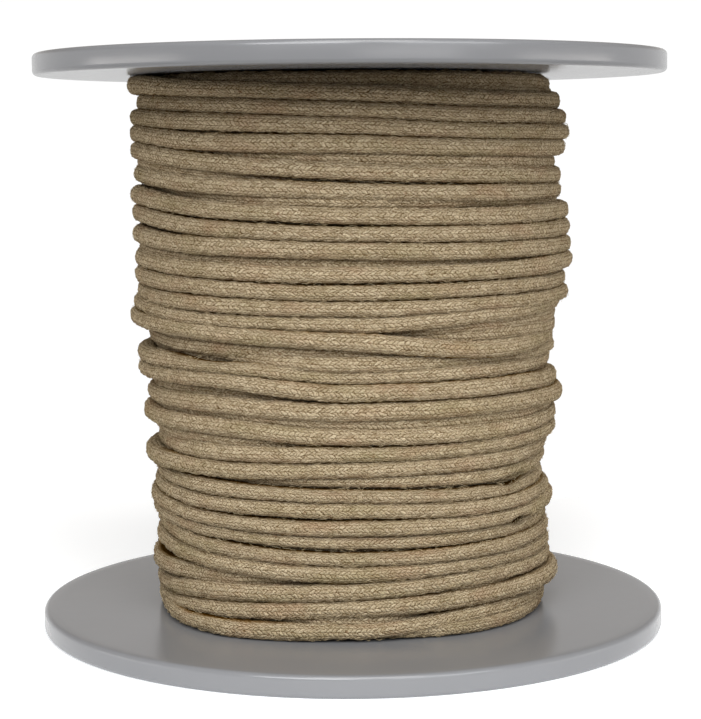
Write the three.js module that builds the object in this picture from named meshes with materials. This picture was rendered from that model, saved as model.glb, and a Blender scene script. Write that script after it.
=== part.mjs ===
// Braided linen rope wound on a flanged spool, in millimetres.
// +Z runs up the spool's axis. The origin is the centre of the face that the spool stands on.
// Azimuths are in degrees: 0 faces -Y, the front, and 90 faces +X.

import * as THREE from 'three';
import { mergeVertices } from 'three/addons/utils/BufferGeometryUtils.js';

// Spool
const spoolHeight = 255.5;
const flangeRadius = 140;
const flangeThickness = 9.5;
const rimRounding = 2;
const arborRadius = 25;
const barrelRadius = 55;
const barrelWall = 4;
const flangeSides = 64;
const barrelSides = 32;

// Pieces that touch are this far apart.
const seatGap = 0.3;

// Rope: its neighbours press each turn a little flat.
const ropeHalfHeight = 3.8;
const ropeHalfDepth = 4.1;

// Radius over the turns: even down to the shoulder, then smaller towards the bottom.
const woundRadiusTop = 97;
const woundRadiusBottom = 88.5;
const taperHeight = 150;

// Below the outer turns lies the next layer, seen as the floor of the open grooves.
const floorDepth = 8;

// Sampling of the wound surface
const windingSides = 32;
const shoulderPlace = 0.52;
const leastRowStep = 0.15;

const windingTop = spoolHeight - flangeThickness - seatGap;
const windingBottom = flangeThickness + seatGap;

// The rope's route, a row for each turn from the top down. Each row gives the height of the
// rope's centre line (z) and how far it stands out of the wound radius (out) at these azimuths.
const azimuths = [-80, -40, 0, 40, 80];

const outerTurns = [
  { z: [242.0, 241.9, 241.8, 241.7, 241.5], out: [-8.5, -8.0, -7.0, -7.0, -8.5] },
  { z: [242.0, 238.2, 235.8, 233.5, 234.0], out: [1.6, 0.0, -0.5, -1.5, -3.8] },
  { z: [234.0, 232.5, 229.6, 227.0, 226.4], out: [-2.4, -1.0, 0.0, 0.0, -1.2] },
  { z: [227.9, 225.3, 223.0, 220.6, 220.6], out: [0.6, 0.0, 0.0, 0.0, 0.5] },
  { z: [220.9, 216.8, 215.8, 214.3, 213.9], out: [0.8, 0.0, 0.0, 0.0, -1.3] },
  { z: [213.4, 208.6, 204.4, 202.1, 201.4], out: [0.5, 0.0, 0.0, 0.0, -3.2] },
  { z: [203.2, 199.4, 197.0, 195.8, 195.2], out: [-0.5, 0.0, 0.0, 0.0, -3.0] },
  { z: [193.7, 189.3, 186.5, 185.7, 185.9], out: [1.0, 0.0, 0.0, 0.0, 0.2] },
  { z: [186.2, 181.9, 179.7, 178.5, 178.9], out: [0.2, 0.0, 0.0, 0.0, 0.7] },
  { z: [176.6, 174.1, 173.0, 171.7, 171.3], out: [0.4, 0.0, 0.0, 0.0, 1.4] },
  { z: [166.2, 164.0, 162.6, 162.8, 164.4], out: [-0.8, 0.0, 0.0, 0.5, 2.0] },
  { z: [158.9, 157.3, 155.7, 156.1, 156.3], out: [-0.6, 0.0, 0.0, 0.0, -1.0] },
  { z: [151.4, 149.4, 149.1, 149.6, 149.7], out: [-1.4, 0.0, 0.0, 0.0, 0.4] },
  { z: [146.4, 143.6, 143.0, 145.6, 146.4], out: [0.5, 0.0, 0.0, -0.5, -3.4] },
  { z: [140.6, 138.8, 135.8, 130.2, 131.5], out: [2.5, 1.6, 1.2, 0.5, -5.0] },
  { z: [130.4, 128.3, 126.3, 126.0, 126.1], out: [-7.5, -5.5, -0.3, -4.0, -4.6] },
  { z: [123.8, 124.4, 121.5, 121.6, 121.0], out: [0.6, 0.0, -1.4, -2.0, -6.4] },
  { z: [117.8, 118.7, 114.6, 114.8, 112.4], out: [0.8, 0.3, 0.0, 0.0, -2.4] },
  { z: [106.7, 107.9, 106.7, 106.8, 105.6], out: [-2.8, -0.5, 0.0, 0.0, 0.5] },
  { z: [98.0, 98.6, 95.8, 95.1, 96.8], out: [-0.3, 0.0, 0.0, 0.0, -1.7] },
  { z: [86.8, 87.3, 89.0, 89.6, 90.5], out: [-6.0, -0.6, 0.0, 0.0, -1.3] },
  { z: [79.4, 80.6, 82.5, 83.6, 84.0], out: [0.2, 0.0, 0.0, 0.0, -5.0] },
  { z: [76.0, 76.4, 77.0, 75.9, 77.4], out: [-7.5, -6.5, -2.6, -1.6, -5.8] },
  { z: [72.6, 72.2, 72.1, 69.4, 68.5], out: [-3.8, -0.4, 0.0, -1.0, -6.4] },
  { z: [66.8, 65.4, 65.3, 63.5, 62.8], out: [-2.8, 0.0, 0.0, 0.0, -3.0] },
  { z: [60.4, 58.0, 57.8, 57.1, 58.7], out: [-0.4, 0.0, 0.0, 0.0, -0.8] },
  { z: [55.2, 52.4, 51.4, 51.2, 51.4], out: [-1.3, -1.4, -1.5, -1.6, -3.6] },
  { z: [50.2, 46.7, 44.9, 44.8, 45.2], out: [-3.0, 0.0, 0.0, 0.0, -1.8] },
  { z: [41.8, 39.9, 38.4, 39.3, 38.6], out: [-1.8, 0.0, 0.0, -0.4, -0.9] },
  { z: [22.0, 27.2, 30.9, 33.3, 32.5], out: [-0.8, 0.3, 0.0, -0.2, -0.5] },
  { z: [15.5, 19.2, 23.5, 24.8, 24.6], out: [-0.8, 1.0, 0.0, 0.3, 3.8] },
  { z: [13.6, 13.6, 13.6, 17.1, 16.4], out: [-1.0, 6.3, 0.4, 0.3, -1.5] },
  { z: [13.5, 13.4, 13.4, 13.4, 13.4], out: [-8.5, -8.5, -4.0, 2.0, -2.0] },
  { z: [13.3, 13.3, 13.3, 13.3, 13.3], out: [-8.0, -8.5, -8.5, -8.5, -8.5] },
];

// The layer below, a row for each stretch that shows as a sunk strip between two outer turns.
// It starts under the top flange and passes from one strip to the next out of sight.
const sunkTurns = [
  { z: [241.9, 241.8, 241.7, 241.6, 241.4], out: [-9.0, -9.0, -9.0, -9.0, -9.0] },
  { z: [215.8, 212.9, 210.1, 208.2, 207.0], out: [-8.0, -5.0, -3.4, -3.2, -6.0] },
  { z: [208.2, 203.4, 201.0, 199.4, 198.4], out: [-2.0, -3.3, -8.0, -8.0, -8.0] },
  { z: [197.6, 195.0, 193.3, 192.8, 191.8], out: [-8.0, -6.0, -3.6, -3.6, -5.0] },
  { z: [170.8, 168.2, 167.0, 166.6, 167.0], out: [-3.0, -3.8, -3.3, -3.8, -8.0] },
  { z: [155.2, 153.7, 152.6, 152.4, 151.8], out: [-6.0, -4.8, -8.0, -8.0, -8.0] },
  { z: [143.0, 141.2, 139.3, 141.0, 141.2], out: [-8.0, -8.0, -7.0, -3.2, -4.8] },
  { z: [137.0, 137.0, 137.0, 136.7, 136.0], out: [-8.0, -8.0, -8.0, -2.0, -4.5] },
  { z: [132.6, 131.6, 130.4, 130.2, 129.8], out: [-4.8, -3.4, -3.6, -8.0, -8.0] },
  { z: [111.3, 112.5, 110.8, 110.0, 109.9], out: [-5.0, -4.6, -8.0, -8.0, -8.0] },
  { z: [102.6, 103.6, 101.1, 101.0, 101.4], out: [-5.6, -5.0, -3.0, -3.0, -3.4] },
  { z: [93.4, 92.2, 92.0, 91.8, 90.0], out: [-5.0, -3.4, -7.0, -8.0, -8.0] },
  { z: [31.5, 33.3, 35.2, 36.0, 36.0], out: [0.9, -3.4, -8.0, -8.0, -8.0] },
  { z: [19.0, 23.3, 27.2, 29.2, 28.8], out: [-5.0, -3.2, -7.0, -4.5, -6.0] },
  { z: [17.0, 17.5, 18.5, 13.2, 13.1], out: [-8.0, -6.0, -3.6, -8.5, -9.0] },
];

const windingLayers = [outerTurns, sunkTurns];

const greyPlastic = new THREE.MeshStandardMaterial({ color: 0x969ba3, roughness: 0.38, metalness: 0 });
const plainPlastic = new THREE.MeshStandardMaterial({ color: 0x8f9399, roughness: 0.5, metalness: 0 });
const linen = new THREE.MeshStandardMaterial({ color: 0xa8936f, roughness: 0.95, metalness: 0 });

function clamp(value, low, high) {
  return Math.min(Math.max(value, low), high);
}

// Knots are counted along the whole rope, one for each azimuth of each turn.
function knotAngle(knot) {
  const turn = Math.floor(knot / azimuths.length);
  return 360 * turn + azimuths[knot - turn * azimuths.length];
}

// The rope keeps its first and last value beyond its ends.
function knotValue(turns, field, knot) {
  const inside = clamp(knot, 0, turns.length * azimuths.length - 1);
  const turn = Math.floor(inside / azimuths.length);
  return turns[turn][field][inside - turn * azimuths.length];
}

function chordSlope(turns, field, knot) {
  const rise = knotValue(turns, field, knot + 1) - knotValue(turns, field, knot);
  return rise / (knotAngle(knot + 1) - knotAngle(knot));
}

// Harmonic mean of the slopes on both sides, level at a peak, so the curve never overshoots.
function knotSlope(turns, field, knot) {
  const before = chordSlope(turns, field, knot - 1);
  const after = chordSlope(turns, field, knot);
  return before * after > 0 ? (2 * before * after) / (before + after) : 0;
}

// Smooth value of one field at an angle counted along the rope.
function valueAlong(turns, field, angle) {
  let knot = Math.floor((angle + 180) / 360) * azimuths.length - 1;
  while (knotAngle(knot + 1) <= angle) {
    knot += 1;
  }
  const span = knotAngle(knot + 1) - knotAngle(knot);
  const t = (angle - knotAngle(knot)) / span;
  const startWeight = 2 * t ** 3 - 3 * t ** 2 + 1;
  const startSlope = (t ** 3 - 2 * t ** 2 + t) * span * knotSlope(turns, field, knot);
  const endSlope = (t ** 3 - t ** 2) * span * knotSlope(turns, field, knot + 1);
  const start = knotValue(turns, field, knot);
  const end = knotValue(turns, field, knot + 1);
  return startWeight * start + (1 - startWeight) * end + startSlope + endSlope;
}

function woundRadius(z) {
  const share = clamp((z - windingBottom) / (taperHeight - windingBottom), 0, 1);
  return THREE.MathUtils.lerp(woundRadiusBottom, woundRadiusTop, share);
}

// Every turn that passes one azimuth, from the top down.
function turnsAt(azimuth) {
  const crossings = [];
  for (const turns of windingLayers) {
    for (let turn = 0; turn < turns.length; turn += 1) {
      const z = valueAlong(turns, 'z', 360 * turn + azimuth);
      const out = valueAlong(turns, 'out', 360 * turn + azimuth);
      crossings.push({ z, crest: woundRadius(z) + out });
    }
  }
  return crossings.sort((upper, lower) => lower.z - upper.z);
}

// Radius of one turn's surface at a height. Past its edge it drops away steeply.
function turnRadius(turn, z) {
  const reach = Math.abs(z - turn.z) / ropeHalfHeight;
  const lift = reach < 1 ? Math.sqrt(1 - reach * reach) : 1 - reach;
  return turn.crest - ropeHalfDepth + ropeHalfDepth * lift;
}

function surfaceRadius(crossings, z) {
  const highest = Math.max(...crossings.map((turn) => turnRadius(turn, z)));
  return Math.max(highest, woundRadius(z) - floorDepth);
}

// Height of the groove between two neighbouring turns, found by halving.
function grooveHeight(upper, lower) {
  let high = upper.z;
  let low = lower.z;
  for (let step = 0; step < 20; step += 1) {
    const middle = (high + low) / 2;
    if (turnRadius(upper, middle) > turnRadius(lower, middle)) {
      high = middle;
    } else {
      low = middle;
    }
  }
  return (high + low) / 2;
}

// Heights of the surface rows at one azimuth: two shoulders and a groove for each turn.
function rowHeights(crossings) {
  const { lerp } = THREE.MathUtils;
  const rows = [windingTop];
  let grooveAbove = windingTop;
  crossings.forEach((turn, index) => {
    const next = crossings[index + 1];
    const grooveBelow = next ? grooveHeight(turn, next) : (turn.z + windingBottom) / 2;
    rows.push(lerp(turn.z, grooveAbove, shoulderPlace));
    rows.push(lerp(turn.z, grooveBelow, shoulderPlace));
    rows.push(grooveBelow);
    grooveAbove = grooveBelow;
  });
  rows.push(windingBottom);
  for (let row = 1; row < rows.length; row += 1) {
    rows[row] = Math.min(rows[row], rows[row - 1] - leastRowStep);
  }
  rows[rows.length - 1] = windingBottom;
  for (let row = rows.length - 2; row > 0; row -= 1) {
    rows[row] = Math.max(rows[row], rows[row + 1] + leastRowStep);
  }
  return rows;
}

// A tube round the barrel whose outside carries a ridge for each turn. One column of points
// stands at each azimuth: the outside from the top down, then the two edges of the inside.
function ropeWinding() {
  const positions = [];
  const faces = [];
  const rowCount = 3 * (outerTurns.length + sunkTurns.length) + 2;
  const columnSize = rowCount + 2;
  const insideRadius = barrelRadius + seatGap;

  function addPoint(azimuth, radius, z) {
    const turned = THREE.MathUtils.degToRad(azimuth);
    positions.push(radius * Math.sin(turned), -radius * Math.cos(turned), z);
  }

  for (let column = 0; column < windingSides; column += 1) {
    const azimuth = -180 + (360 * column) / windingSides;
    const crossings = turnsAt(azimuth);
    for (const z of rowHeights(crossings)) {
      addPoint(azimuth, surfaceRadius(crossings, z), z);
    }
    addPoint(azimuth, insideRadius, windingTop);
    addPoint(azimuth, insideRadius, windingBottom);
  }

  for (let column = 0; column < windingSides; column += 1) {
    const isLast = column === windingSides - 1;
    const left = column * columnSize;
    const right = isLast ? 0 : left + columnSize;
    // After a full round the rope of each layer is one turn further down.
    const lead = isLast ? 3 * windingLayers.length : 0;
    let a = 0;
    let b = 0;
    while (b < lead) {
      faces.push(left + a, right + b + 1, right + b);
      b += 1;
    }
    while (b < rowCount - 1) {
      faces.push(left + a + 1, right + b + 1, right + b);
      faces.push(left + a + 1, right + b, left + a);
      a += 1;
      b += 1;
    }
    while (a < rowCount - 1) {
      faces.push(left + a + 1, right + b, left + a);
      a += 1;
    }
    const outsideBottom = rowCount - 1;
    const insideTop = rowCount;
    const insideBottom = rowCount + 1;
    const ring = [0, insideTop, insideBottom, outsideBottom];
    for (let edge = 0; edge < ring.length - 1; edge += 1) {
      const from = ring[edge];
      const to = ring[edge + 1];
      faces.push(left + from, right + from, right + to);
      faces.push(left + from, right + to, left + to);
    }
  }

  const geometry = new THREE.BufferGeometry();
  geometry.setAttribute('position', new THREE.Float32BufferAttribute(positions, 3));
  geometry.setIndex(faces);
  return geometry;
}

// Turns a closed outline of radius and height about the spool's axis.
function turned(outline, sides) {
  const geometry = new THREE.LatheGeometry([...outline, outline[0]], sides);
  geometry.deleteAttribute('normal');
  geometry.deleteAttribute('uv');
  geometry.rotateX(Math.PI / 2);
  return mergeVertices(geometry, 1e-4);
}

// Points of a quarter round, from one angle to the next.
function rounding(centreRadius, centreHeight, startAngle) {
  return [0, 1, 2, 3].map((step) => {
    const angle = startAngle + (step * Math.PI) / 6;
    return new THREE.Vector2(
      centreRadius + rimRounding * Math.cos(angle),
      centreHeight + rimRounding * Math.sin(angle),
    );
  });
}

// A disc with a hole for the arbor and a rounded rim.
function flange() {
  const roundRadius = flangeRadius - rimRounding;
  return turned([
    new THREE.Vector2(arborRadius, 0),
    ...rounding(roundRadius, rimRounding, -Math.PI / 2),
    ...rounding(roundRadius, flangeThickness - rimRounding, 0),
    new THREE.Vector2(arborRadius, flangeThickness),
  ], flangeSides);
}

function barrel() {
  const bottom = flangeThickness + seatGap;
  const top = spoolHeight - flangeThickness - seatGap;
  return turned([
    new THREE.Vector2(barrelRadius - barrelWall, bottom),
    new THREE.Vector2(barrelRadius, bottom),
    new THREE.Vector2(barrelRadius, top),
    new THREE.Vector2(barrelRadius - barrelWall, top),
  ], barrelSides);
}

function named(name, geometry, material) {
  const mesh = new THREE.Mesh(geometry, material);
  mesh.name = name;
  return mesh;
}

const ropeSpool = new THREE.Group();
ropeSpool.add(named('bottom_flange', flange(), greyPlastic));

const topFlange = named('top_flange', flange(), greyPlastic);
topFlange.position.z = spoolHeight - flangeThickness;
ropeSpool.add(topFlange);

ropeSpool.add(named('barrel', barrel(), plainPlastic));
ropeSpool.add(named('rope_winding', ropeWinding(), linen));

export default ropeSpool;
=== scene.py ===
"""Braided linen rope wound on a flanged plastic spool.

Metres, +Z up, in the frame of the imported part. Azimuths are in degrees: 0 faces -Y, the camera,
and 90 faces +X.
"""

import math

import bpy
import numpy as np
from mathutils import Matrix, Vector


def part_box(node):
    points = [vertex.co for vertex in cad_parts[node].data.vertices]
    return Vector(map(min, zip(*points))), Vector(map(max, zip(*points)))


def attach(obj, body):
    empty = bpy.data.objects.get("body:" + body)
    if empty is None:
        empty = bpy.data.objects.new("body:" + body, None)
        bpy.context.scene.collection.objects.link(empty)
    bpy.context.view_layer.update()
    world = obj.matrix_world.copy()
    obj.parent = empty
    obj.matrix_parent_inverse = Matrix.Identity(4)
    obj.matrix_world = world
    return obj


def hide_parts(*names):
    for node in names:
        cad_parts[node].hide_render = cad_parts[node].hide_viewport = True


MM = 0.001

# Added where a division could meet zero
TINY = 1e-9

# The photograph's frame and the camera fitted to it
PICTURE_HEIGHT_PX = 719
FOCAL_LENGTH_PX = 2004.85
SENSOR_MM = 36.0
CAMERA_PLACE = (-0.0004, -0.9032, 0.2177)
CAMERA_PITCH = 6.276
CAMERA_ROLL = 0.375

# Rope: its neighbours press each turn a little flat
ROPE_HALF_HEIGHT = 3.9 * MM
ROPE_HALF_DEPTH = 4.1 * MM
LEAST_HALF_HEIGHT = 3.1 * MM
CONTACT_SQUASH = 0.12 * MM
WOUND_RADIUS_TOP = 97.0 * MM
WOUND_RADIUS_BOTTOM = 88.5 * MM
TAPER_HEIGHT = 150.0 * MM
UNDER_LAYER_DEPTH = 7.3 * MM
UNDER_LAYER_PITCH = 7.4 * MM

# Two turns touch when their centres are this close, and lie clear of each other when this far
FULL_CONTACT = 7.8 * MM
NO_CONTACT = 9.2 * MM

# How far the rope wanders off its route
HEIGHT_WANDER = 0.22 * MM
RADIUS_WANDER = 0.35 * MM

# How much its thickness varies, and how many times as fast as its route
FULLNESS_WANDER = 0.03
FULLNESS_RATE = 3

# The waves of the wander: how many to a turn, and the share of each
WANDER_WAVES = [
    {"rate": 2.37, "share": 0.40},
    {"rate": 4.71, "share": 0.30},
    {"rate": 9.13, "share": 0.20},
    {"rate": 17.9, "share": 0.12},
]

# The rope's centre stays at least this share of its half height above the lower flange
FOOT_SHARE = 0.9

# Layers of rope: rings to a turn, points to a ring, first random seed, and whether the turns press
# each other flat. The outer layer is dealt out over a few pieces.
OUTER_LAYER = {"steps": 360, "sides": 20, "seed": 3, "pressed": True}
SUNK_LAYER = {"steps": 240, "sides": 14, "seed": 23, "pressed": False}
UNDER_LAYER = {"steps": 120, "sides": 10, "seed": 41, "pressed": False}
OUTER_PIECES = 4

# The rope's section: how uneven its surface is, and the power that squares its oval a little
RUFFLE = 0.06
SECTION_SQUARENESS = 0.82

# Layout of the rope's bake: extra room for the side that faces out, air between rows and at the
# square's sides
BAKE_STRETCH = 0.6
BAKE_MARGIN = 0.06
BAKE_INSET = 0.004

# Braid
BRAID_COLUMNS = 16
STITCH_LENGTH = 2.3 * MM
STITCH_LEAN = 0.8
STITCH_STAGGER = 0.5

# How far its columns and stitches stray from their even places, in columns and in stitches
COLUMN_DRIFT = 0.8
COLUMN_PULL = 0.8
STITCH_DRIFT = 1.6

# The powers that round a stitch's crown off, along it and across it
CROWN_ALONG = 0.6
CROWN_ACROSS = 0.45

# Yarns: how often they vary in a metre along and in one round, and how both follow the stitch's
# lean
YARN_ALONG = 1000.0
YARN_AROUND = 60.0
YARN_LEAN = -2.2
YARN_SLANT = 330.0
YARN_DETAIL = 3.0
YARN_ROUGH = 0.7

# The braid's relief, and what each pattern adds to it
BRAID_RELIEF = 0.6 * MM
BRAID_BUMP = 0.9
CROWN_RELIEF = 0.9
YARN_RELIEF = 0.8
FUZZ_RELIEF = 0.7

# Noise on the rope: how often it varies in a metre along and in one round, where it is taken from
# (start and layer, so that no two are alike), how many finer levels it has and how strong they are
PATTERNS = {
    "drift": {"along": 60, "around": 3, "start": 0, "layer": 0, "detail": 1, "rough": 0.5},
    "sideways": {"along": 430, "around": 11, "start": 0, "layer": 3, "detail": 2, "rough": 0.5},
    "lengthways": {"along": 380, "around": 12, "start": 0, "layer": 9, "detail": 2, "rough": 0.5},
    "fuzz": {"along": 1200, "around": 36, "start": 0, "layer": 0, "detail": 3, "rough": 0.75},
    "patch": {"along": 30, "around": 2, "start": 0, "layer": 0, "detail": 2, "rough": 0.5},
    "sage": {"along": 21, "around": 1.5, "start": 40, "layer": 0, "detail": 2, "rough": 0.5},
    "fleck": {"along": 260, "around": 9, "start": 0, "layer": 7, "detail": 2, "rough": 0.5},
    "gap": {"along": 300, "around": 8, "start": 0, "layer": 5, "detail": 2, "rough": 0.5},
}

# Colours of the linen
LINEN_LIGHT = (0.698, 0.595, 0.420)
LINEN_SHADE = (0.115, 0.067, 0.017)
ROSY_PATCH = (0.330, 0.205, 0.125)
GREEN_PATCH = (0.235, 0.205, 0.100)
BROWN_FLECK = (0.170, 0.080, 0.040)
DARK_SPECK = (0.088, 0.043, 0.007)
# Painted shade for the gaps between stitches
STITCH_GAP_SHADE = (0.070, 0.033, 0.005)
# Painted shade for the sides of a turn that press on its neighbours, and darker for the groove
# between them
SIDE_SHADE = (0.150, 0.080, 0.014)
GROOVE_SHADE = (0.062, 0.026, 0.002)
FIBRE_LIGHT = (0.64, 0.53, 0.35)
FIBRE_SHADE = (0.36, 0.27, 0.14)

# The linen's light and shade: the values between which yarns, fuzz and dark specks come up, and
# the share of each
YARN_EDGE = (0.32, 0.68)
YARN_SHARE = 0.45
FUZZ_EDGE = (0.36, 0.64)
FUZZ_SHARE = 0.30
STITCH_SHARE = 0.25
SPECK_EDGE = (0.53, 0.62)
SPECK_SHARE = 0.85

# Patches of other tones over it, in the order in which they are laid
PATCHES = [
    {"noise": "patch", "edge": (0.50, 0.72), "share": 0.45, "colour": ROSY_PATCH},
    {"noise": "sage", "edge": (0.50, 0.75), "share": 0.40, "colour": GREEN_PATCH},
    {"noise": "fleck", "edge": (0.66, 0.76), "share": 0.60, "colour": BROWN_FLECK},
]

# Painted shade in the gaps between stitches: where a crown is low enough to be one, and how dark
# the shade is at least and in the places where the braid is more open
GAP_EDGE = (0.10, 0.60)
OPEN_EDGE = (0.30, 0.62)
GAP_LEAST = 0.40
GAP_MORE = 0.60

# Painted shade on the sides of a turn that press on its neighbours, darker in the groove between
# them: where it begins, in rounds from the outer side, how much fuzz and yarn fray that line, and
# how dark it is
SIDE_SHADE_EDGE = (0.14, 0.22)
SIDE_SHADE_SHARE = 0.65
GROOVE_SHADE_EDGE = (0.195, 0.245)
GROOVE_SHADE_SHARE = 0.97
FUZZ_FRAY = 0.07
YARN_FRAY = 0.05
MEAN_FRAY = 0.06

# Loose fibres: how far round the rope from its outer side they start, how far they turn off the
# rope's run and how much they bend, in radians
FIBRE_COUNT = 16000
FIBRE_JOINTS = 3
FIBRE_SIDES = 3
FIBRE_RADIUS = 0.07 * MM
FIBRE_LENGTHS_MM = (1.2, 4.2)
FIBRE_LIFTS_MM = (0.02, 0.60)
FIBRE_CLEARANCE = 0.02 * MM
FIBRE_SPREAD = 1.0
FIBRE_LAY = 1.0
FIBRE_BEND = 0.9
FIBRE_SEAT = 0.96
FIBRE_SEED = 11

# Spool. The flat faces begin with a band of three roundings, so that their shading stays flat.
ARBOR_RADIUS = 25.0 * MM
BORE_ROUNDING = 0.6 * MM
RIM_ROUNDING = 2.0 * MM
RIM_STEPS = 7
EDGE_BAND = 3
FLANGE_SIDES = 256
PLASTIC_LIGHT = (0.178, 0.182, 0.192)
PLASTIC_SHADE = (0.160, 0.164, 0.174)
PLASTIC_ROUGHNESS = 0.17
PLASTIC_WEAR = 0.10
PLASTIC_WAVE = 0.15 * MM
PLASTIC_BUMP = 0.35

# How often the plastic's mottle, wear and waves vary in a metre
MOTTLE_SCALE = 22.0
WEAR_SCALE = 160.0
WAVE_SCALE = 30.0

# Studio: a bright backdrop, a dimmer room in front of it, and a floor lit like a light table.
# The backdrop comes up over these shares of the way back (1 is straight behind the spool), and
# fades out over these shares of the way up
BACKDROP_EDGE = (-0.7, 0.3)
CEILING_EDGE = (0.08, 0.36)
BACKDROP_STRENGTH = 1.03
ROOM_STRENGTH = 0.28
WHITE = (1.0, 1.0, 1.0)
ROOM_TINT = (1.0, 0.90, 0.80)
FLOOR_HALF_SIDE = 0.30
FLOOR_COLOUR = (0.85, 0.85, 0.85, 1.0)
FLOOR_GLOW = 0.41
FLOOR_GLOW_COLOUR = (0.92, 0.96, 1.0, 1.0)

# Lamps, which all face the spool's middle: sizes are in metres and power is in watts
LAMP_DISTANCE = 2.4
LAMP_AIM_HEIGHT = 0.12
COOL = (0.965, 0.985, 1.0)
MILD = (1.0, 0.985, 0.96)
WARM = (1.0, 0.965, 0.92)
LAMPS = [
    {"name": "key", "azimuth": -17, "elevation": 28, "size": (1.4, 1.0), "power": 38, "tint": COOL},
    {"name": "fill", "azimuth": 33, "elevation": 28, "size": (1.6, 1.2), "power": 27, "tint": COOL},
    {"name": "high", "azimuth": 5, "elevation": 55, "size": (1.4, 1.2), "power": 32, "tint": MILD},
    {"name": "low", "azimuth": 20, "elevation": 4, "size": (1.4, 0.4), "power": 4, "tint": MILD},
    {"name": "left", "azimuth": -80, "elevation": 1, "size": (1.8, 0.24), "power": 6, "tint": WARM},
    {"name": "right", "azimuth": 80, "elevation": 1, "size": (1.8, 0.24), "power": 5, "tint": WARM},
]

# The rope's route in millimetres, a row for each turn from the top down. Each row gives the
# height of the rope's centre line (z) and how far it stands out of the wound radius (out) at
# these azimuths.
AZIMUTHS = [-80, -40, 0, 40, 80]

OUTER_TURNS = [
    {"z": [242.0, 241.9, 241.8, 241.7, 241.5], "out": [-8.5, -8.0, -7.0, -7.0, -8.5]},
    {"z": [242.0, 238.2, 235.8, 233.5, 234.0], "out": [1.6, 0.0, -0.5, -1.5, -3.8]},
    {"z": [234.0, 232.5, 229.6, 227.0, 226.4], "out": [-2.4, -1.0, 0.0, 0.0, -1.2]},
    {"z": [227.9, 225.3, 223.0, 220.6, 220.6], "out": [0.6, 0.0, 0.0, 0.0, 0.5]},
    {"z": [220.9, 216.8, 215.8, 214.3, 213.9], "out": [0.8, 0.0, 0.0, 0.0, -1.3]},
    {"z": [213.4, 208.6, 204.4, 202.1, 201.4], "out": [0.5, 0.0, 0.0, 0.0, -3.2]},
    {"z": [203.2, 199.4, 197.0, 195.8, 195.2], "out": [-0.5, 0.0, 0.0, 0.0, -3.0]},
    {"z": [193.7, 189.3, 186.5, 185.7, 185.9], "out": [1.0, 0.0, 0.0, 0.0, 0.2]},
    {"z": [186.2, 181.9, 179.7, 178.5, 178.9], "out": [0.2, 0.0, 0.0, 0.0, 0.7]},
    {"z": [176.6, 174.1, 173.0, 171.7, 171.3], "out": [0.4, 0.0, 0.0, 0.0, 1.4]},
    {"z": [166.2, 164.0, 162.6, 162.8, 164.4], "out": [-0.8, 0.0, 0.0, 0.5, 2.0]},
    {"z": [158.9, 157.3, 155.7, 156.1, 156.3], "out": [-0.6, 0.0, 0.0, 0.0, -1.0]},
    {"z": [151.4, 149.4, 149.1, 149.6, 149.7], "out": [-1.4, 0.0, 0.0, 0.0, 0.4]},
    {"z": [146.4, 143.6, 143.0, 145.6, 146.4], "out": [0.5, 0.0, 0.0, -0.5, -3.4]},
    {"z": [140.6, 138.8, 135.8, 130.2, 131.5], "out": [2.5, 1.6, 1.2, 0.5, -5.0]},
    {"z": [130.4, 128.3, 126.3, 126.0, 126.1], "out": [-7.5, -5.5, -0.3, -4.0, -4.6]},
    {"z": [123.8, 124.4, 121.5, 121.6, 121.0], "out": [0.6, 0.0, -1.4, -2.0, -6.4]},
    {"z": [117.8, 118.7, 114.6, 114.8, 112.4], "out": [0.8, 0.3, 0.0, 0.0, -2.4]},
    {"z": [106.7, 107.9, 106.7, 106.8, 105.6], "out": [-2.8, -0.5, 0.0, 0.0, 0.5]},
    {"z": [98.0, 98.6, 95.8, 95.1, 96.8], "out": [-0.3, 0.0, 0.0, 0.0, -1.7]},
    {"z": [86.8, 87.3, 89.0, 89.6, 90.5], "out": [-6.0, -0.6, 0.0, 0.0, -1.3]},
    {"z": [79.4, 80.6, 82.5, 83.6, 84.0], "out": [0.2, 0.0, 0.0, 0.0, -5.0]},
    {"z": [76.0, 76.4, 77.0, 75.9, 77.4], "out": [-7.5, -6.5, -2.6, -1.6, -5.8]},
    {"z": [72.6, 72.2, 72.1, 69.4, 68.5], "out": [-3.8, -0.4, 0.0, -1.0, -6.4]},
    {"z": [66.8, 65.4, 65.3, 63.5, 62.8], "out": [-2.8, 0.0, 0.0, 0.0, -3.0]},
    {"z": [60.4, 58.0, 57.8, 57.1, 58.7], "out": [-0.4, 0.0, 0.0, 0.0, -0.8]},
    {"z": [55.2, 52.4, 51.4, 51.2, 51.4], "out": [-1.3, -1.4, -1.5, -1.6, -3.6]},
    {"z": [50.2, 46.7, 44.9, 44.8, 45.2], "out": [-3.0, 0.0, 0.0, 0.0, -1.8]},
    {"z": [41.8, 39.9, 38.4, 39.3, 38.6], "out": [-1.8, 0.0, 0.0, -0.4, -0.9]},
    {"z": [22.0, 27.2, 30.9, 33.3, 32.5], "out": [-0.8, 0.3, 0.0, -0.2, -0.5]},
    {"z": [15.5, 19.2, 23.5, 24.8, 24.6], "out": [-0.8, 1.0, 0.0, 0.3, 3.8]},
    {"z": [13.6, 13.6, 13.6, 17.1, 16.4], "out": [-1.0, 6.3, 0.4, 0.3, -1.5]},
    {"z": [13.5, 13.4, 13.4, 13.4, 13.4], "out": [-8.5, -8.5, -4.0, 2.0, -2.0]},
    {"z": [13.3, 13.3, 13.3, 13.3, 13.3], "out": [-8.0, -8.5, -8.5, -8.5, -8.5]},
]

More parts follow.
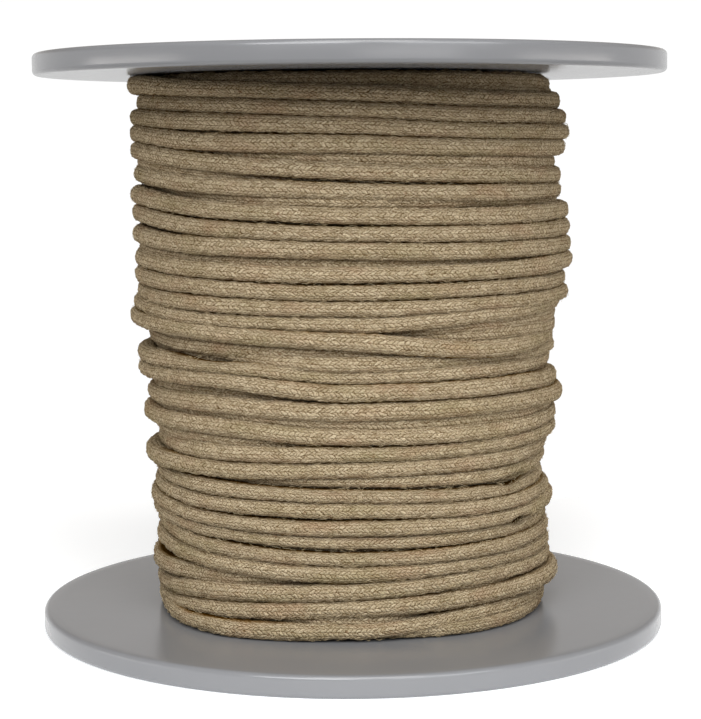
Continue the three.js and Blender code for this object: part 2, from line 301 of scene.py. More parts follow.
# The layer below, a row for each stretch that shows as a sunk strip between two outer turns.
# It starts under the top flange and passes from one strip to the next out of sight. Some strips
# lie up to 2 mm further in or out than in the part, so that each catches the right light.
SUNK_TURNS = [
    {"z": [241.9, 241.8, 241.7, 241.6, 241.4], "out": [-9.0, -9.0, -9.0, -9.0, -9.0]},
    {"z": [215.8, 212.9, 210.1, 208.2, 207.0], "out": [-8.0, -5.0, -3.4, -3.2, -6.0]},
    {"z": [208.2, 203.4, 201.0, 199.4, 198.4], "out": [-2.0, -3.3, -8.0, -8.0, -8.0]},
    {"z": [197.6, 195.0, 193.3, 192.8, 191.8], "out": [-8.0, -5.0, -1.8, -3.2, -5.0]},
    {"z": [170.8, 168.2, 167.0, 166.6, 167.0], "out": [-3.0, -4.0, -4.2, -4.4, -8.0]},
    {"z": [155.2, 153.7, 152.6, 152.4, 151.8], "out": [-6.0, -5.6, -8.0, -8.0, -8.0]},
    {"z": [143.0, 141.2, 139.3, 141.0, 141.2], "out": [-8.0, -8.0, -7.0, -3.2, -4.8]},
    {"z": [137.0, 137.0, 137.0, 136.7, 136.0], "out": [-8.0, -8.0, -8.0, -3.6, -4.5]},
    {"z": [132.6, 131.6, 130.4, 130.2, 129.8], "out": [-4.8, -3.4, -3.6, -8.0, -8.0]},
    {"z": [111.3, 112.5, 110.8, 110.0, 109.9], "out": [-5.0, -5.2, -8.0, -8.0, -8.0]},
    {"z": [102.6, 103.6, 101.1, 101.0, 101.4], "out": [-5.6, -3.6, -3.0, -3.0, -3.4]},
    {"z": [93.4, 92.2, 92.0, 91.8, 90.0], "out": [-5.0, -3.4, -7.0, -8.0, -8.0]},
    {"z": [31.5, 33.3, 35.2, 36.0, 36.0], "out": [0.9, -3.4, -8.0, -8.0, -8.0]},
    {"z": [19.0, 23.3, 27.2, 29.2, 28.8], "out": [-5.0, -2.4, -7.0, -3.4, -6.0]},
    {"z": [17.0, 17.5, 18.5, 13.2, 13.1], "out": [-8.0, -6.0, -2.4, -8.5, -9.0]},
]

# Where two outer turns part and a dark gap shows, below the turn that is named by its row from 0.
# Both draw in by depth in millimetres at the azimuth, and less and less over reach in degrees.
PARTINGS = [
    {"turn": 5, "azimuth": 0, "reach": 30, "depth": 0.7},
    {"turn": 7, "azimuth": -15, "reach": 45, "depth": 0.5},
    {"turn": 10, "azimuth": 10, "reach": 35, "depth": 0.5},
    {"turn": 15, "azimuth": -41, "reach": 10, "depth": 1.8},
    {"turn": 19, "azimuth": 0, "reach": 25, "depth": 0.4},
    {"turn": 22, "azimuth": 0, "reach": 50, "depth": 0.9},
    {"turn": 22, "azimuth": 51, "reach": 7, "depth": 2.2},
    {"turn": 24, "azimuth": -20, "reach": 35, "depth": 0.7},
    {"turn": 25, "azimuth": 54, "reach": 5, "depth": 2.2},
    {"turn": 26, "azimuth": -5, "reach": 35, "depth": 0.9},
    {"turn": 30, "azimuth": -45, "reach": 20, "depth": 0.8},
    {"turn": 31, "azimuth": 40, "reach": 20, "depth": 0.8},
    {"turn": 32, "azimuth": -42, "reach": 18, "depth": 0.7},
]


# Route of the rope


def smooth_curve(knot_angles, knot_values, angles):
    """Values between knots on a curve that is level at each peak, so that it never overshoots."""
    chords = np.diff(knot_values) / np.diff(knot_angles)
    before = np.concatenate([[0.0], chords])
    after = np.concatenate([chords, [0.0]])
    product = before * after
    total = np.where(product > 0, before + after, 1.0)
    slopes = np.where(product > 0, 2 * product / total, 0.0)
    last = len(knot_angles) - 2
    knot = np.clip(np.searchsorted(knot_angles, angles, side="right") - 1, 0, last)
    span = knot_angles[knot + 1] - knot_angles[knot]
    t = (angles - knot_angles[knot]) / span
    start = (2 * t**3 - 3 * t**2 + 1) * knot_values[knot]
    end = (3 * t**2 - 2 * t**3) * knot_values[knot + 1]
    start_slope = (t**3 - 2 * t**2 + t) * span * slopes[knot]
    end_slope = (t**3 - t**2) * span * slopes[knot + 1]
    return start + end + start_slope + end_slope


def value_along(turns, field, angles):
    """One field in metres at angles in degrees along the rope, which stays level past its ends."""
    values = np.array([row[field] for row in turns]).ravel() * MM
    starts = 360.0 * np.arange(len(turns))
    places = (starts[:, None] + np.array(AZIMUTHS)).ravel()
    places = np.concatenate([[places[0] - 360], places, [places[-1] + 360]])
    values = np.concatenate([values[:1], values, values[-1:]])
    return smooth_curve(places, values, angles)


def wound_radius(z, bottom):
    """Radius over the turns at a height: even at the top, and smaller towards the bottom."""
    share = np.clip((z - bottom) / (TAPER_HEIGHT - bottom), 0, 1)
    return WOUND_RADIUS_BOTTOM + (WOUND_RADIUS_TOP - WOUND_RADIUS_BOTTOM) * share


def wobble(angles, size, seed):
    """A smooth irregular wander along the rope."""
    rng = np.random.default_rng(seed)
    turned = np.radians(angles)
    total = np.zeros(len(angles))
    for wave in WANDER_WAVES:
        total += wave["share"] * np.sin(wave["rate"] * turned + rng.uniform(0, 2 * np.pi))
    return size * total


def centre_line(turns, angles, bottom):
    """(radius, height) of the rope's centre at angles counted along the rope."""
    z = value_along(turns, "z", angles)
    out = value_along(turns, "out", angles)
    return wound_radius(z, bottom) + out - ROPE_HALF_DEPTH, z


def even_turns(low, high):
    """Rows for the layer under the others, wound at an even pitch from the top down."""
    count = int((high - low - 2 * ROPE_HALF_HEIGHT) / UNDER_LAYER_PITCH)
    top = high - ROPE_HALF_HEIGHT
    rows = []
    for turn in range(count):
        drops = [UNDER_LAYER_PITCH * (turn + (azimuth + 180) / 360) for azimuth in AZIMUTHS]
        heights = [(top - drop) / MM for drop in drops]
        rows.append({"z": heights, "out": [-UNDER_LAYER_DEPTH / MM] * len(AZIMUTHS)})
    return rows


def neighbour_distances(turns, angles, bottom):
    """From the centre of a turn to the centres of the turns above and below it."""
    radius, z = centre_line(turns, angles, bottom)
    distances = []
    for to_neighbour in (-360.0, 360.0):
        near_radius, near_z = centre_line(turns, angles + to_neighbour, bottom)
        distances.append(np.hypot(radius - near_radius, z - near_z))
    return distances


def contact_half_height(distance):
    """How far a turn reaches towards its neighbour, where they press together."""
    return np.clip(distance / 2 + CONTACT_SQUASH, LEAST_HALF_HEIGHT, ROPE_HALF_HEIGHT)


def contact_share(distance):
    """1 where a turn touches its neighbour, 0 where they lie well apart."""
    return np.clip((NO_CONTACT - distance) / (NO_CONTACT - FULL_CONTACT), 0, 1)


def drawn_in(angles):
    """How far the lower side of the outer turns draws in, at angles along the rope."""
    total = np.zeros(len(angles))
    for parting in PARTINGS:
        offset = angles - 360.0 * parting["turn"] - parting["azimuth"]
        total += parting["depth"] * MM * np.exp(-((offset / parting["reach"]) ** 2))
    return total


# Meshes


def make_mesh(name, points, quads, smooth, maps):
    """An object of quads. Each map gives two numbers for each corner of each face."""
    mesh = bpy.data.meshes.new(name)
    mesh.vertices.add(len(points))
    mesh.vertices.foreach_set("co", np.ascontiguousarray(points, np.float32).ravel())
    mesh.loops.add(quads.size)
    mesh.loops.foreach_set("vertex_index", quads.astype(np.int32).ravel())
    mesh.polygons.add(len(quads))
    mesh.polygons.foreach_set("loop_start", np.arange(0, quads.size, 4, dtype=np.int32))
    mesh.polygons.foreach_set("use_smooth", smooth)
    for map_name, corners in maps.items():
        layer = mesh.uv_layers.new(name=map_name)
        layer.data.foreach_set("uv", np.ascontiguousarray(corners, np.float32).ravel())
    mesh.update(calc_edges=True)
    piece = bpy.data.objects.new(name, mesh)
    bpy.context.scene.collection.objects.link(piece)
    return piece


def finish_piece(piece, material, slot, *nodes):
    """Gives a piece its material, hides the nodes it replaces, and fixes it in place. The slot is
    not used.
    """
    piece.data.materials.append(material)
    if nodes:
        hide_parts(*nodes)
    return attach(piece, "root")


def ruffled(rings, sides, seed):
    """Small uneven swellings of a tube, none on its first and last ring."""
    rng = np.random.default_rng(seed)
    swell = np.clip(rng.normal(0.0, RUFFLE, (rings, sides)), -2 * RUFFLE, 2 * RUFFLE)
    swell[[0, -1]] = 0.0
    return 1.0 + swell


def oval(around):
    """Outward and upward share of a slightly squared oval, at angles from its outer side."""
    outward = np.sign(np.cos(around)) * np.abs(np.cos(around)) ** SECTION_SQUARENESS
    upward = np.sign(np.sin(around)) * np.abs(np.sin(around)) ** SECTION_SQUARENESS
    return outward, upward


def tube_points(angles, radius, z, half_up, half_down, half_depth, swell):
    """Rings of an upright oval section round the spool's axis. Each starts on its inner side."""
    sides = swell.shape[1]
    outward, upward = oval(-np.pi + 2 * np.pi * np.arange(sides) / sides)
    half_height = np.where(upward > 0, half_up[:, None], half_down[:, None])
    ring_radius = radius[:, None] + half_depth[:, None] * swell * outward
    ring_z = z[:, None] + half_height * swell * upward
    turned = np.radians(angles)[:, None]
    x = ring_radius * np.sin(turned)
    y = -ring_radius * np.cos(turned)
    return np.stack([x, y, ring_z], axis=-1)


def tube_faces(rings, sides, first):
    """Quads of a closed tube whose points start at index first, caps last."""
    i, j = np.meshgrid(np.arange(rings - 1), np.arange(sides), indexing="ij")
    k = (j + 1) % sides
    ring = first + i * sides
    walls = np.stack([ring + j, ring + sides + j, ring + sides + k, ring + k], axis=-1)
    low = np.arange(sides // 2 - 1)
    cap = np.stack([low, low + 1, sides - 2 - low, sides - 1 - low], axis=-1)
    end = first + (rings - 1) * sides
    return np.concatenate([walls.reshape(-1, 4), first + cap, end + cap[:, ::-1]])


def tube_map(u, v, caps):
    """Corner coordinates for tube_faces.

    Each of u and v is a column with a number for each ring, a row with a number for each side
    line, or a grid of both.
    """
    grid = np.stack(np.broadcast_arrays(u, v), axis=-1)
    walls = np.stack([grid[:-1, :-1], grid[1:, :-1], grid[1:, 1:], grid[:-1, 1:]], axis=-2)
    flat = np.broadcast_to(grid[0, 0], (caps, 4, 2))
    return np.concatenate([walls.reshape(-1, 4, 2), flat])


def rope_turn(turns, angles, layer, low, high):
    """Rings of points of one turn, kept between the heights low and high."""
    seed = layer["seed"]
    radius, z = centre_line(turns, angles, low)
    z = np.maximum(z + wobble(angles, HEIGHT_WANDER, seed), low + ROPE_HALF_HEIGHT * FOOT_SHARE)
    radius = radius + wobble(angles, RADIUS_WANDER, seed + 1)
    fullness = 1 + wobble(angles * FULLNESS_RATE, FULLNESS_WANDER, seed + 2)
    half_up = half_down = np.full(len(angles), ROPE_HALF_HEIGHT)
    if layer["pressed"]:
        to_upper, to_lower = neighbour_distances(turns, angles, low)
        half_up = contact_half_height(to_upper) - drawn_in(angles - 360.0)
        half_down = contact_half_height(to_lower) - drawn_in(angles)
    half_up = np.minimum(half_up * fullness, high - z)
    half_down = np.minimum(half_down, z - low)
    swell = ruffled(len(angles), layer["sides"], seed + int(angles[-1]))
    return tube_points(angles, radius, z, half_up, half_down, ROPE_HALF_DEPTH * fullness, swell)


def turn_maps(turns, angles, layer, low, place, turn_count):
    """UV maps of one turn: place on the rope, contact with the turns above and below (where shade
    is painted), and bake.
    """
    caps = layer["sides"] - 2
    side_lines = np.linspace(0, 1, layer["sides"] + 1)[None, :]
    length = np.radians(angles) * WOUND_RADIUS_TOP
    above = below = np.ones(len(angles))
    if layer["pressed"]:
        to_upper, to_lower = neighbour_distances(turns, angles, low)
        above, below = contact_share(to_upper), contact_share(to_lower)
    return {
        "Rope": tube_map(length[:, None], side_lines, caps),
        "Contact": tube_map(above[:, None], below[:, None] * np.ones_like(side_lines), caps),
        "OFBake": bake_rows(layer["steps"], side_lines, place, turn_count, caps),
    }


def rope_piece(name, turns, which, layer, low, high):
    """One object that holds the chosen turns of a layer, each a closed tube from back to back."""
    steps, sides = layer["steps"], layer["sides"]
    points, faces, maps, smooth = [], [], [], []
    for place, turn in enumerate(which):
        angles = 360.0 * turn - 180.0 + 360.0 * np.arange(steps + 1) / steps
        points.append(rope_turn(turns, angles, layer, low, high).reshape(-1, 3))
        faces.append(tube_faces(steps + 1, sides, place * (steps + 1) * sides))
        maps.append(turn_maps(turns, angles, layer, low, place, len(which)))
        smooth.append(np.arange(len(faces[-1])) < steps * sides)
    joined = {key: np.concatenate([each[key] for each in maps]) for key in maps[0]}
    return make_mesh(
        name, np.concatenate(points), np.concatenate(faces), np.concatenate(smooth), joined
    )


def bake_rows(steps, around, place, turn_count, caps):
    """Lays one turn's tube in two level rows of the bake's square, with a little air round each.

    The side that faces out, in the middle of a row, gets more room than the hidden one.
    """
    stretched = around - BAKE_STRETCH * np.sin(2 * np.pi * around) / (2 * np.pi)
    u = BAKE_INSET + (1 - 2 * BAKE_INSET) * np.arange(steps // 2 + 1) / (steps // 2)
    corners = []
    for row in (2 * place, 2 * place + 1):
        v = (row + BAKE_MARGIN + (1 - 2 * BAKE_MARGIN) * stretched) / (2 * turn_count)
        corners.append(tube_map(u[:, None], v, 0))
    spot = np.array([BAKE_INSET / 2, (place + BAKE_MARGIN) / turn_count])
    corners.append(np.broadcast_to(spot, (caps, 4, 2)))
    return np.concatenate(corners)


# Material patterns


class Field:
    """A value in a node tree, so that a pattern can be written as a sum."""

    def __init__(self, tree, socket):
        self.tree = tree
        self.socket = socket

    def join(self, operation, *others):
        """A maths node of this value and others, each a field or a plain number."""
        node = self.tree.nodes.new("ShaderNodeMath")
        node.operation = operation
        for place, value in enumerate((self, *others)):
            if isinstance(value, Field):
                self.tree.links.new(value.socket, node.inputs[place])
            else:
                node.inputs[place].default_value = value
        return Field(self.tree, node.outputs[0])

    def __add__(self, other):
        return self.join("ADD", other)

    def __sub__(self, other):
        return self.join("SUBTRACT", other)

    def __mul__(self, other):
        return self.join("MULTIPLY", other)

    def __pow__(self, other):
        return self.join("POWER", other)

    def floor(self):
        return self.join("FLOOR")

    def cosine(self):
        return self.join("COSINE")

    def size(self):
        return self.join("ABSOLUTE")

    def opposite(self):
        """1 less this value."""
        return self * -1.0 + 1.0

    def between(self, low, high):
        """0 up to low, 1 from high on, and smooth in between."""
        node = self.tree.nodes.new("ShaderNodeMapRange")
        node.interpolation_type = "SMOOTHSTEP"
        self.tree.links.new(self.socket, node.inputs["Value"])
        node.inputs["From Min"].default_value = low
        node.inputs["From Max"].default_value = high
        return Field(self.tree, node.outputs["Result"])


def place_of(tree, x, y, z=0.0):
    """A point from three values, each a field or a plain number."""
    node = tree.nodes.new("ShaderNodeCombineXYZ")
    for socket, value in zip(node.inputs, (x, y, z)):
        if isinstance(value, Field):
            tree.links.new(value.socket, socket)
        else:
            socket.default_value = value
    return node.outputs[0]


def map_values(tree, name):
    """The two numbers of a UV map."""
    source = tree.nodes.new("ShaderNodeUVMap")
    source.uv_map = name
    split = tree.nodes.new("ShaderNodeSeparateXYZ")
    tree.links.new(source.outputs[0], split.inputs[0])
    return Field(tree, split.outputs[0]), Field(tree, split.outputs[1])


def noise(tree, place, scale, detail=2.0, roughness=0.5):
    """A smooth random value from 0 to 1."""
    node = tree.nodes.new("ShaderNodeTexNoise")
    node.inputs["Scale"].default_value = scale
    node.inputs["Detail"].default_value = detail
    node.inputs["Roughness"].default_value = roughness
    tree.links.new(place, node.inputs["Vector"])
    return Field(tree, node.outputs["Fac"])


def rope_noise(tree, along, around, name):
    """One of the patterns on the rope."""
    row = PATTERNS[name]
    place = place_of(
        tree, along * row["along"] + row["start"], around * row["around"], row["layer"]
    )
    return noise(tree, place, 1.0, row["detail"], row["rough"])


def speckle(tree, place):
    """A random value for each place, with no link to the places beside it."""
    node = tree.nodes.new("ShaderNodeTexWhiteNoise")
    tree.links.new(place, node.inputs["Vector"])
    return Field(tree, node.outputs["Value"])


def mixed(tree, share, first, second):
    """A colour between two, each a socket or three numbers."""
    node = tree.nodes.new("ShaderNodeMix")
    node.data_type = "RGBA"
    tree.links.new(share.socket, node.inputs["Factor"])
    ends = [socket for socket in node.inputs if socket.type == "RGBA"]
    for socket, value in zip(ends, (first, second)):
        if isinstance(value, bpy.types.NodeSocket):
            tree.links.new(value, socket)
        else:
            socket.default_value = (*value, 1.0)
    return next(socket for socket in node.outputs if socket.type == "RGBA")


def new_material(name, roughness):
    """A material, its node tree and its shader."""
    material = bpy.data.materials.new(name)
    material.use_nodes = True
    shader = material.node_tree.nodes["Principled BSDF"]
    shader.inputs["Roughness"].default_value = roughness
    return material, material.node_tree, shader


def add_bump(tree, shader, height, distance, strength):
    """Gives a shader the relief of a field that runs over the given distance."""
    node = tree.nodes.new("ShaderNodeBump")
    node.inputs["Distance"].default_value = distance
    node.inputs["Strength"].default_value = strength
    tree.links.new(height.socket, node.inputs["Height"])
    tree.links.new(node.outputs["Normal"], shader.inputs["Normal"])


def braid_stitches(tree, along, around):
    """Stitches in columns. They wander slowly, and each is pulled a little out of place.

    Gives each stitch's random tone, the place across its column, the column's lean, and how high
    the stitch stands.
    """
    drift = rope_noise(tree, along, around, "drift")
    sideways = rope_noise(tree, along, around, "sideways")
    lengthways = rope_noise(tree, along, around, "lengthways")
    column_place = around * BRAID_COLUMNS + drift * COLUMN_DRIFT + sideways * COLUMN_PULL
    column = column_place.floor()
    across = column_place - column - 0.5
    odd = column.join("MODULO", 2.0)
    lean = odd * -2.0 + 1.0
    leaning = along * (1 / STITCH_LENGTH) + across * lean * STITCH_LEAN
    stitch_place = leaning + odd * STITCH_STAGGER + drift * STITCH_DRIFT + lengthways
    stitch = stitch_place.floor()
    within = stitch_place - stitch - 0.5
    rounded = (within * math.pi).cosine() ** CROWN_ALONG
    crown = rounded * ((across * math.pi).cosine() ** CROWN_ACROSS)
    tone = speckle(tree, place_of(tree, column, stitch))
    return tone, across, lean, crown


def linen_yarn(tree, along, around, across, lean):
    """Fine yarns that follow each stitch's lean, and fuzz that lies along the rope."""
    yarn_along = along * YARN_ALONG + across * lean * YARN_LEAN
    yarn_around = around * YARN_AROUND + along * lean * YARN_SLANT
    yarn = noise(tree, place_of(tree, yarn_along, yarn_around), 1.0, YARN_DETAIL, YARN_ROUGH)
    fuzz = rope_noise(tree, along, around, "fuzz")
    return yarn, fuzz


def linen_tones(tree, along, around, tone, yarn, fuzz):
    """Colour of stitches that differ, lie in long patches of tone and carry brown flecks."""
    strands = yarn.between(*YARN_EDGE) * YARN_SHARE + fuzz.between(*FUZZ_EDGE) * FUZZ_SHARE
    colour = mixed(tree, strands + tone * STITCH_SHARE, LINEN_SHADE, LINEN_LIGHT)
    for patch in PATCHES:
        strength = rope_noise(tree, along, around, patch["noise"]).between(*patch["edge"])
        colour = mixed(tree, strength * patch["share"], colour, patch["colour"])
    return mixed(tree, fuzz.between(*SPECK_EDGE) * SPECK_SHARE, colour, DARK_SPECK)


def stitch_gap_shade(tree, along, around, crown, colour):
    """Paints shade into the gaps between stitches, more in some places than in others."""
    open_gap = rope_noise(tree, along, around, "gap")
    gap = crown.between(*GAP_EDGE).opposite()
    gap_shade = gap * (open_gap.between(*OPEN_EDGE) * GAP_MORE + GAP_LEAST)
    # Painted shade in the gaps between stitches
    return mixed(tree, gap_shade, colour, STITCH_GAP_SHADE)


def shaded_pressed_sides(tree, around, yarn, fuzz, colour):
    """Paints shade on the sides of a turn where they touch the turns above and below, darkest in
    the groove.
    """
    above, below = map_values(tree, "Contact")
    upper = around.join("GREATER_THAN", 0.5)
    contact = upper * above + upper.opposite() * below
    turned_away = (around - 0.5).size() + fuzz * FUZZ_FRAY + yarn * YARN_FRAY - MEAN_FRAY
    side_shade = turned_away.between(*SIDE_SHADE_EDGE) * contact * SIDE_SHADE_SHARE
    # Painted shade on the pressed sides, then darker painted shade in the groove between the turns
    side_shaded = mixed(tree, side_shade, colour, SIDE_SHADE)
    pressed = turned_away.between(*GROOVE_SHADE_EDGE) * contact * GROOVE_SHADE_SHARE
    return mixed(tree, pressed, side_shaded, GROOVE_SHADE)


def linen_braid():
    """Round braid: columns of short hairy stitches that lean to either side in turn."""
    material, tree, shader = new_material("linen_braid", 0.95)
    shader.inputs["Specular IOR Level"].default_value = 0.0
    along, around = map_values(tree, "Rope")
    tone, across, lean, crown = braid_stitches(tree, along, around)
    yarn, fuzz = linen_yarn(tree, along, around, across, lean)
    relief = crown * CROWN_RELIEF + yarn * YARN_RELIEF + fuzz * FUZZ_RELIEF
    add_bump(tree, shader, relief, BRAID_RELIEF, BRAID_BUMP)
    linen = linen_tones(tree, along, around, tone, yarn, fuzz)
    # Painted shade in the gaps between stitches
    gapped = stitch_gap_shade(tree, along, around, crown, linen)
    # Painted shade on the sides where turns press together
    colour = shaded_pressed_sides(tree, around, yarn, fuzz, gapped)
    tree.links.new(colour, shader.inputs["Base Color"])
    return material


def fibre_material():
    """Pale dry fibres, some darker than others."""
    material, tree, shader = new_material("linen_fibre", 0.9)
    shader.inputs["Specular IOR Level"].default_value = 0.1
    coords = tree.nodes.new("ShaderNodeTexCoord")
    tone = noise(tree, coords.outputs["Object"], 90.0, 1.0)
    colour = mixed(tree, tone, FIBRE_SHADE, FIBRE_LIGHT)
    tree.links.new(colour, shader.inputs["Base Color"])
    return material


def spool_plastic():
    """Satin moulded plastic with a faint mottle and fine handling marks."""
    material, tree, shader = new_material("spool_plastic", PLASTIC_ROUGHNESS)
    shader.inputs["Specular IOR Level"].default_value = 0.5
    coords = tree.nodes.new("ShaderNodeTexCoord")
    mottle = noise(tree, coords.outputs["Object"], MOTTLE_SCALE, 3.0)
    colour = mixed(tree, mottle, PLASTIC_SHADE, PLASTIC_LIGHT)
    tree.links.new(colour, shader.inputs["Base Color"])
    worn = noise(tree, coords.outputs["Object"], WEAR_SCALE, 4.0, 0.7)
    roughness = worn * PLASTIC_WEAR + PLASTIC_ROUGHNESS
    tree.links.new(roughness.socket, shader.inputs["Roughness"])
    wave = noise(tree, coords.outputs["Object"], WAVE_SCALE, 2.0)
    add_bump(tree, shader, wave, PLASTIC_WAVE, PLASTIC_BUMP)
    return material


# Spool


def flange_outline(radius, thickness):
    """Half a flange's section as (radius, height), from the lower face round to the bore."""
    quarter = np.linspace(0, np.pi / 2, RIM_STEPS)
    rim_low = [
        (radius - RIM_ROUNDING * (1 - np.sin(a)), RIM_ROUNDING * (1 - np.cos(a))) for a in quarter
    ]
    rim_high = [(r, thickness - z) for r, z in reversed(rim_low)]
    face_start = ARBOR_RADIUS + BORE_ROUNDING
    inner_ring = ARBOR_RADIUS + EDGE_BAND * BORE_ROUNDING
    outer_ring = radius - EDGE_BAND * RIM_ROUNDING
    lower_face = [(face_start, 0), (inner_ring, 0), (outer_ring, 0)]
    upper_face = [(r, thickness) for r, z in reversed(lower_face)]
    bore = [(ARBOR_RADIUS, thickness - BORE_ROUNDING), (ARBOR_RADIUS, BORE_ROUNDING)]
    return np.array(lower_face + rim_low + rim_high + upper_face + bore)


def flange(node, material):
    """A disc with a hole and rounded edges, turned about the spool's axis, in a node's place."""
    low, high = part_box(node)
    outline = flange_outline(high[0], high[2] - low[2])
    turned = 2 * np.pi * np.arange(FLANGE_SIDES) / FLANGE_SIDES
    x = outline[None, :, 0] * np.cos(turned)[:, None]
    y = outline[None, :, 0] * np.sin(turned)[:, None]
    z = np.broadcast_to(low[2] + outline[None, :, 1], x.shape)
    points = np.stack([x, y, z], axis=-1).reshape(-1, 3)
    count = len(outline)
    i, j = np.meshgrid(np.arange(FLANGE_SIDES), np.arange(count), indexing="ij")
    ahead = ((i + 1) % FLANGE_SIDES) * count
    beside = (j + 1) % count
    quads = np.stack([i * count + j, ahead + j, ahead + beside, i * count + beside], axis=-1)
    quads = quads.reshape(-1, 4)
    piece = make_mesh(f"{node}_shell", points, quads, np.ones(len(quads), bool), {})
    return finish_piece(piece, material, "spool_plastic", node)


# Loose fibres


def fibre_lines(bottom):
    """Centre lines of short bent stray fibres that lie over the outer turns."""
    rng = np.random.default_rng(FIBRE_SEED)
    angles = rng.uniform(0, 360.0 * (len(OUTER_TURNS) - 1), FIBRE_COUNT)
    radius, z = centre_line(OUTER_TURNS, angles, bottom)
    around = rng.uniform(-FIBRE_SPREAD, FIBRE_SPREAD, FIBRE_COUNT)
    lay = rng.uniform(-FIBRE_LAY, FIBRE_LAY, FIBRE_COUNT)
    length = rng.uniform(*FIBRE_LENGTHS_MM, FIBRE_COUNT) * MM
    lift = rng.uniform(*FIBRE_LIFTS_MM, FIBRE_COUNT) * MM
    bend = rng.uniform(-FIBRE_BEND, FIBRE_BEND, FIBRE_COUNT)
    centres = []
    for step in np.linspace(-0.5, 0.5, FIBRE_JOINTS):
        heading = lay + bend * step
        sweep = length * step
        stand = lift * (1 - (2 * step) ** 2) + FIBRE_CLEARANCE
        outward, upward = oval(around + sweep * np.sin(heading) / ROPE_HALF_DEPTH)
        r = radius + (ROPE_HALF_DEPTH + stand) * outward
        height = z + (ROPE_HALF_HEIGHT * FIBRE_SEAT + stand) * upward
        turned = np.radians(angles) + sweep * np.cos(heading) / r
        centres.append(np.stack([r * np.sin(turned), -r * np.cos(turned), height], axis=-1))
    return np.stack(centres, axis=1)


def loose_fibres(material, bottom):
    """All stray fibres as one object, each a thin three-sided hair."""
    line = fibre_lines(bottom)
    forward = np.gradient(line, axis=1)
    forward /= np.linalg.norm(forward, axis=-1, keepdims=True)
    aside = np.cross(forward, np.array([0.0, 0.0, 1.0]))
    aside /= np.linalg.norm(aside, axis=-1, keepdims=True) + TINY
    upward = np.cross(aside, forward)
    turned = np.arange(FIBRE_SIDES) * 2 * np.pi / FIBRE_SIDES
    ring = (
        line[:, :, None]
        + FIBRE_RADIUS * np.cos(turned)[:, None] * aside[:, :, None]
        + FIBRE_RADIUS * np.sin(turned)[:, None] * upward[:, :, None]
    )
    fibre, joint, side = np.meshgrid(
        np.arange(FIBRE_COUNT), np.arange(FIBRE_JOINTS - 1), np.arange(FIBRE_SIDES), indexing="ij"
    )
    base = (fibre * FIBRE_JOINTS + joint) * FIBRE_SIDES
    ahead = base + FIBRE_SIDES
    beside = (side + 1) % FIBRE_SIDES
    quads = np.stack([base + side, base + beside, ahead + beside, ahead + side], axis=-1)
    quads = quads.reshape(-1, 4)
    smooth = np.ones(len(quads), bool)
    piece = make_mesh("rope_fibres", ring.reshape(-1, 3), quads, smooth, {})
    return finish_piece(piece, material, "linen_braid")


# Surroundings


def area_light(lamp):
    """A rectangular lamp that faces the spool's middle."""
    data = bpy.data.lights.new(lamp["name"], "AREA")
    data.shape = "RECTANGLE"
    data.size, data.size_y = lamp["size"]
    data.energy = lamp["power"]
    data.color = lamp["tint"]
    light = bpy.data.objects.new(lamp["name"], data)
    middle = Matrix.Translation((0, 0, LAMP_AIM_HEIGHT))
    turned = Matrix.Rotation(math.radians(lamp["azimuth"]), 4, "Z")
    raised = Matrix.Rotation(math.radians(90 - lamp["elevation"]), 4, "X")
    light.matrix_world = middle @ turned @ raised @ Matrix.Translation((0, 0, LAMP_DISTANCE))
    bpy.context.scene.collection.objects.link(light)


def studio_room():
    """A world with a bright backdrop, which fades out overhead and towards the camera's side."""
    world = bpy.data.worlds.new("studio")
    world.use_nodes = True
    bpy.context.scene.world = world
    tree = world.node_tree
    background = tree.nodes["Background"]
    heading = tree.nodes.new("ShaderNodeTexCoord")
    split = tree.nodes.new("ShaderNodeSeparateXYZ")
    tree.links.new(heading.outputs["Generated"], split.inputs[0])
    behind = Field(tree, split.outputs[1]).between(*BACKDROP_EDGE)
    above = Field(tree, split.outputs[2]).between(*CEILING_EDGE)
    backdrop = behind * above.opposite()
    tint = mixed(tree, backdrop, ROOM_TINT, WHITE)
    tree.links.new(tint, background.inputs["Color"])
    strength = backdrop * (BACKDROP_STRENGTH - ROOM_STRENGTH) + ROOM_STRENGTH
    tree.links.new(strength.socket, background.inputs["Strength"])


def pale_floor():
    """A plain square under the spool, which glows so that it is as white as the backdrop."""
    side = FLOOR_HALF_SIDE
    corners = np.array([(-side, -side, 0), (side, -side, 0), (side, side, 0), (-side, side, 0)])
    floor = make_mesh("floor", corners, np.array([[0, 1, 2, 3]]), np.zeros(1, bool), {})
    paper, _, shader = new_material("pale_floor", 0.9)
    shader.inputs["Base Color"].default_value = FLOOR_COLOUR
    shader.inputs["Emission Color"].default_value = FLOOR_GLOW_COLOUR
    shader.inputs["Emission Strength"].default_value = FLOOR_GLOW
    floor.data.materials.append(paper)


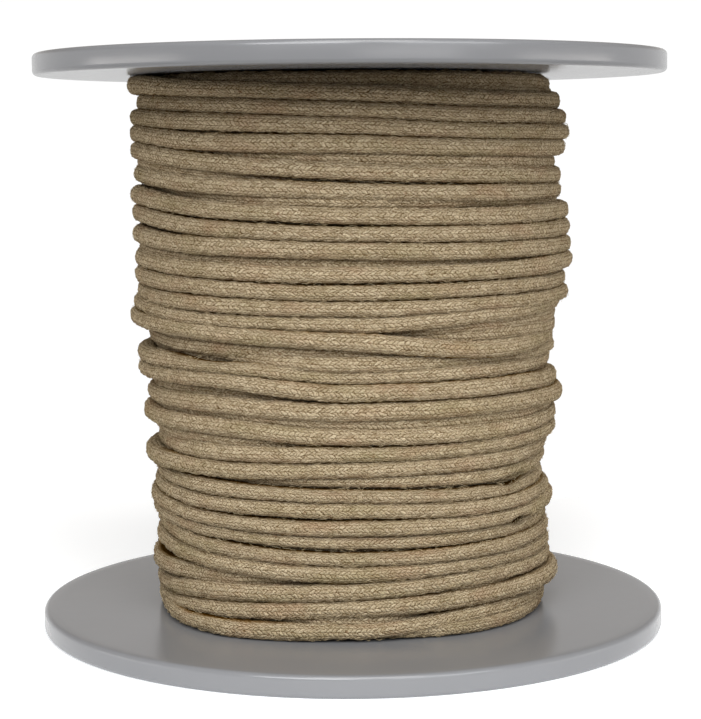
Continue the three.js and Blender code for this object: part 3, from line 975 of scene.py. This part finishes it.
def camera():
    """The camera that took the photograph."""
    data = bpy.data.cameras.new("camera")
    data.sensor_width = SENSOR_MM
    data.lens = FOCAL_LENGTH_PX * SENSOR_MM / PICTURE_HEIGHT_PX
    item = bpy.data.objects.new("camera", data)
    item.matrix_world = (
        Matrix.Translation(CAMERA_PLACE)
        @ Matrix.Rotation(math.radians(90 - CAMERA_PITCH), 4, "X")
        @ Matrix.Rotation(math.radians(-CAMERA_ROLL), 4, "Z")
    )
    bpy.context.scene.collection.objects.link(item)
    bpy.context.scene.camera = item


# Build

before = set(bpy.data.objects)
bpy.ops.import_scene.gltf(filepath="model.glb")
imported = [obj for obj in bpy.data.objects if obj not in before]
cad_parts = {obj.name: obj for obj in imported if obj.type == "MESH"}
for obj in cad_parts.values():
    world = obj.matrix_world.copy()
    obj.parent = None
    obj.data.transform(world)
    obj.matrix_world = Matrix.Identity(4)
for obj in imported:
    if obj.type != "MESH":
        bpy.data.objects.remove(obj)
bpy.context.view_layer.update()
camera()
studio_room()
for lamp in LAMPS:
    area_light(lamp)
pale_floor()
bpy.context.scene.view_settings.view_transform = "Standard"

winding_low, winding_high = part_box("rope_winding")
low, high = winding_low[2], winding_high[2]

braid = linen_braid()
for group in range(OUTER_PIECES):
    chosen = range(group, len(OUTER_TURNS), OUTER_PIECES)
    outer = rope_piece(f"rope_turns_{group + 1}", OUTER_TURNS, chosen, OUTER_LAYER, low, high)
    finish_piece(outer, braid, "linen_braid", "rope_winding")

chosen = range(len(SUNK_TURNS))
sunk = rope_piece("rope_sunk_turns", SUNK_TURNS, chosen, SUNK_LAYER, low, high)
finish_piece(sunk, braid, "linen_braid", "rope_winding")

under_turns = even_turns(low, high)
chosen = range(len(under_turns))
under = rope_piece("rope_under_layer", under_turns, chosen, UNDER_LAYER, low, high)
finish_piece(under, braid, "linen_braid", "rope_winding")

loose_fibres(fibre_material(), low)

plastic = spool_plastic()
for node in ("bottom_flange", "top_flange"):
    flange(node, plastic)
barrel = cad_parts["barrel"]
barrel.data.materials.clear()
barrel.data.materials.append(plastic)
